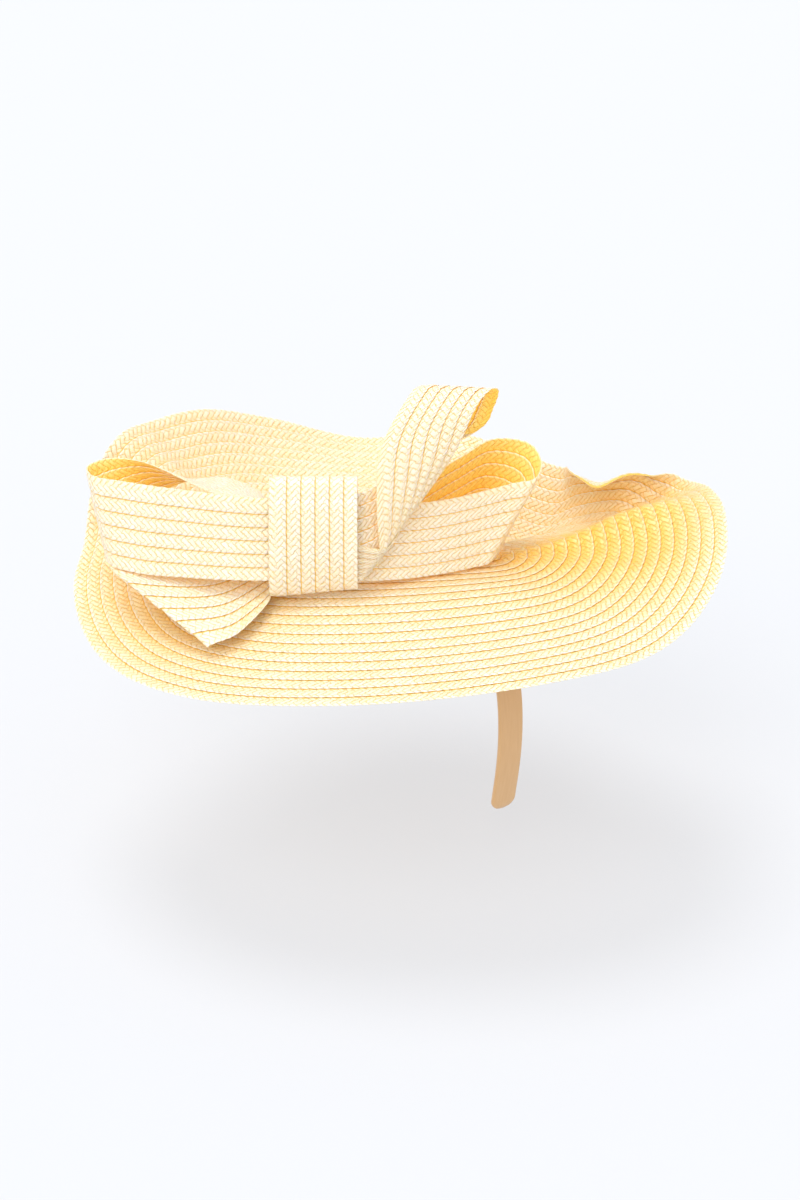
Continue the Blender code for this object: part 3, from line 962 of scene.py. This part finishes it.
@dataclass
class Knot:
    """Band of braid wrapped round the middle of the bow.

    Tilt is how far its length leans back, in degrees from level, and slant is how much its
    right side is raised at the bottom.
    """

    braid: Braid
    finish: bpy.types.Material
    rows: int = 6
    width: float = 46.98 * MM
    middle: tuple[float, float, float] = (-71 * MM, -41 * MM, 37 * MM)
    half_length: float = 31.75 * MM
    half_depth: float = 9.75 * MM
    tilt: float = 65.0
    slant: float = 4.5 * MM
    # Painted shade on the knot, almost none
    painted_shade: float = 0.03
    first_tone: float = 0.1

    def long_way(self) -> np.ndarray:
        """Direction of the knot's length, leaning back by the tilt."""
        tilt = math.radians(self.tilt)
        return np.array([0.0, math.cos(tilt), math.sin(tilt)])

    def ring(self, turns: np.ndarray) -> np.ndarray:
        """Points round the knot: an ellipse whose long way leans by the tilt.

        Args:
            turns: angles round the ellipse, in radians.

        Returns:
            Points about the knot's middle.
        """
        long_way = self.long_way()
        short_way = np.array([0.0, -long_way[2], long_way[1]])
        return (np.cos(turns)[:, None] * self.half_length * long_way
                + np.sin(turns)[:, None] * self.half_depth * short_way)

    def build(self) -> bpy.types.Object:
        """Make the knot as one piece: each row goes once round the ring."""
        fine = np.linspace(0.0, 2 * math.pi, FINE_POINTS)
        run = run_length(self.ring(fine))
        count = int(run[-1] / self.braid.station)
        turns = np.interp(np.arange(count) / count * run[-1], run, fine)
        ring = self.ring(turns) + np.array(self.middle)
        forward = np.roll(ring, -1, axis=0) - np.roll(ring, 1, axis=0)
        across = np.array([1.0, 0.0, 0.0])
        normal = unit(np.cross(forward, across))
        along = run_length(np.concatenate([ring, ring[:1]]))
        parts = MeshParts()
        for row in range(self.rows):
            places, half = self.braid.places_in_strip(row, self.rows, self.width)
            places = places - self.width / 2
            middle = ring[:, None] + across * places[None, :, None]
            raised = np.outer((1 - np.cos(turns)) / 2, places / self.width + 0.5) * self.slant
            middle = middle + raised[..., None] * self.long_way()
            normals = np.broadcast_to(normal[:, None], middle.shape)
            self.braid.lay(parts, middle, normals, along, half, 1.0,
                           row_tone(row, self.first_tone), True,
                           np.broadcast_to(across, ring.shape), self.painted_shade,
                           (row > 0, row < self.rows - 1))
        piece = parts.build("knot_braid")
        dress(piece, self.finish, "knot")
        return piece


@dataclass
class Headband:
    """Sprung band covered with satin ribbon."""

    finish: bpy.types.Material
    width: float = 15 * MM
    thickness: float = 3 * MM
    half_span: float = 69 * MM
    drop: float = 131 * MM
    turn: float = 30.0
    stations: int = 360
    points: int = 28
    flat_across: float = 0.25
    flat_through: float = 0.6
    tip_share: float = 0.45
    tip_least: float = 0.02

    def line(self) -> np.ndarray:
        """Points along the band's underside, from end to end over the arch."""
        table = np.array(HEADBAND_ARCH)
        side = np.linspace(-1.0, 1.0, self.stations + 1)
        half = smooth_rows(np.abs(side), table[:, 0], table[:, 1:])
        return np.stack([np.zeros(len(side)), -np.sign(side) * half[:, 0] * self.half_span,
                         half[:, 1] * self.drop], -1)

    def build(self) -> bpy.types.Object:
        """Make the band: a rounded flat section carried along the arch, its tips drawn in.

        The section's two measures are the cosine and the sine of an angle, each raised to a
        power below 1. Near each tip, within a share of the width, both shrink in a round.

        Returns:
            The band as one piece.
        """
        line = self.line()
        along = run_length(line)
        forward = unit(np.gradient(line, axis=0))
        outward = np.stack([np.zeros(len(line)), forward[:, 2], -forward[:, 1]], -1)
        outward *= np.sign(outward[len(line) // 2, 2])
        left = np.minimum(along, along[-1] - along)
        tip = 1 - (1 - np.clip(left / (self.width * self.tip_share), 0, 1))**2
        tip = np.sqrt(np.clip(tip, self.tip_least, 1))
        angle = np.arange(self.points) * 2 * math.pi / self.points
        wide, deep = np.cos(angle), np.sin(angle)
        across = np.sign(wide) * np.abs(wide)**self.flat_across * self.width / 2
        through = np.sign(deep) * np.abs(deep)**self.flat_through * self.thickness / 2
        rings = (line + outward * self.thickness / 2)[:, None] + np.zeros((1, self.points, 3))
        rings[..., 0] += across * tip[:, None]
        rings += outward[:, None] * (through * tip[:, None]**0.5)[..., None]
        turn = math.radians(self.turn)
        spin = np.array([[math.cos(turn), -math.sin(turn), 0],
                         [math.sin(turn), math.cos(turn), 0], [0, 0, 1]])
        parts = MeshParts()
        parts.add_tube(rings @ spin.T, along / MM, across / MM, 0.5, False)
        piece = parts.build("headband_satin")
        dress(piece, self.finish, "headband")
        return piece


def dress(piece: bpy.types.Object, finish: bpy.types.Material, node: str) -> None:
    """Give a piece its material and body, and hide the solid that it stands for.

    Args:
        piece: object to dress.
        finish: its material.
        node: name of the solid that it replaces.
    """
    piece.data.materials.append(finish)
    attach(piece, "root")
    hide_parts(node)
    log.info("%s: %d faces", piece.name, len(piece.data.polygons))


@dataclass
class Studio:
    """Pale floor, soft light and the camera."""

    floor_height: float = -0.175
    floor_size: float = 14.0
    sky_colour: Colour = (0.96, 0.975, 1.0, 1.0)
    sky_power: float = 0.96
    target: Point = (-25 * MM, -13 * MM, -19 * MM)
    distance: float = 1.56
    elevation: float = 31.0
    lens: float = 85.0
    sensor: float = 36.0

    def floor(self) -> None:
        """Lay the floor as one large square."""
        size, height = self.floor_size, self.floor_height
        corners = [(-size, -size, height), (size, -size, height),
                   (size, size, height), (-size, size, height)]
        mesh = bpy.data.meshes.new("floor")
        mesh.from_pydata(corners, [], [(0, 1, 2, 3)])
        mesh.materials.append(FloorFinish().build())
        made = bpy.data.objects.new("floor", mesh)
        bpy.context.scene.collection.objects.link(made)

    @staticmethod
    def pose(place: np.ndarray, right: np.ndarray, up: np.ndarray, back: np.ndarray) -> Matrix:
        """Matrix of an object that stands at a place.

        Args:
            place: position of the object.
            right: direction of its X axis.
            up: direction of its Y axis.
            back: direction of its Z axis.

        Returns:
            The matrix, four by four.
        """
        columns = np.stack([right, up, back, np.array(place, float)], axis=1)
        return Matrix(np.vstack([columns, [0, 0, 0, 1]]).tolist())

    def sun(self, name: str, way: Point, spread: float, power: float) -> None:
        """Light the scene evenly from one direction.

        Args:
            name: name of the lamp.
            way: direction from the object to the lamp.
            spread: width of the lamp in the sky, in degrees.
            power: light that it sends, in watts a square metre.
        """
        lamp = bpy.data.lights.new(name, "SUN")
        lamp.energy = power
        lamp.angle = math.radians(spread)
        made = bpy.data.objects.new(name, lamp)
        back = unit(np.array(way, float))
        right = unit(np.cross([0.0, 1.0, 0.0], back))
        made.matrix_world = self.pose(way, right, np.cross(back, right), back)
        bpy.context.scene.collection.objects.link(made)

    def lights(self) -> None:
        """World light from all round, and two wide lamps, overhead and at the front left."""
        world = bpy.data.worlds.new("studio")
        world.use_nodes = True
        bpy.context.scene.world = world
        sky = world.node_tree.nodes["Background"]
        sky.inputs[0].default_value = self.sky_colour
        sky.inputs[1].default_value = self.sky_power
        self.sun("overhead", (-0.15, 0.16, 1.0), 26.0, 1.0)
        self.sun("front_left", (-0.40, -0.80, 1.0), 40.0, 0.85)

    def camera(self) -> None:
        """Set the camera in front and above, looking down at the brim."""
        angle = math.radians(self.elevation)
        back = np.array([0.0, -math.cos(angle), math.sin(angle)])
        up = np.array([0.0, math.sin(angle), math.cos(angle)])
        lens = bpy.data.cameras.new("camera")
        lens.lens, lens.sensor_width, lens.sensor_fit = self.lens, self.sensor, "AUTO"
        made = bpy.data.objects.new("camera", lens)
        place = np.array(self.target) + back * self.distance
        made.matrix_world = self.pose(place, np.array([1.0, 0.0, 0.0]), up, back)
        bpy.context.scene.collection.objects.link(made)
        bpy.context.scene.camera = made

    def build(self) -> None:
        """Set up the studio."""
        self.floor()
        self.lights()
        self.camera()
        bpy.context.scene.view_settings.view_transform = "Standard"


def main() -> None:
    """Build every piece in order, then the studio."""
    logging.basicConfig(level=logging.INFO, format="%(message)s")
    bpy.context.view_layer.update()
    braid = Braid()
    brim_straw = StrawFinish("brim_straw").build()
    # The bow's straw: paler lit colours, and a painted glow where painted shade falls inside the loops
    bow_straw = StrawFinish(
        "bow_straw", lit_palest=(0.995, 0.90, 0.775, 1.0), pale=(0.99, 0.82, 0.58, 1.0),
        shadow=(0.95, 0.67, 0.26, 1.0), seam_shadow=(0.95, 0.62, 0.15, 1.0), fluted_shade=-0.02,
        shaded_golden=(0.99, 0.72, 0.17, 1.0), deep=(0.98, 0.60, 0.07, 1.0),
        crevice_shade=(0.92, 0.52, 0.05, 1.0), painted_glow=0.2).build()
    Brim(braid, brim_straw).build()
    BowStrip("upper_left_loop", UPPER_LEFT_LOOP, braid, bow_straw).build()
    BowStrip("lower_left_loop", LOWER_LEFT_LOOP, braid, bow_straw, inner_painted_shade=0.3).build()
    BowStrip("tall_loop", TALL_LOOP, braid, bow_straw, over=-1.0).build()
    BowStrip("lower_right_loop", LOWER_RIGHT_LOOP, braid, bow_straw, over=-1.0).build()
    Knot(braid, bow_straw).build()
    Headband(SatinFinish("tan_satin").build()).build()
    Studio().build()


if __name__ == "__main__":
    main()
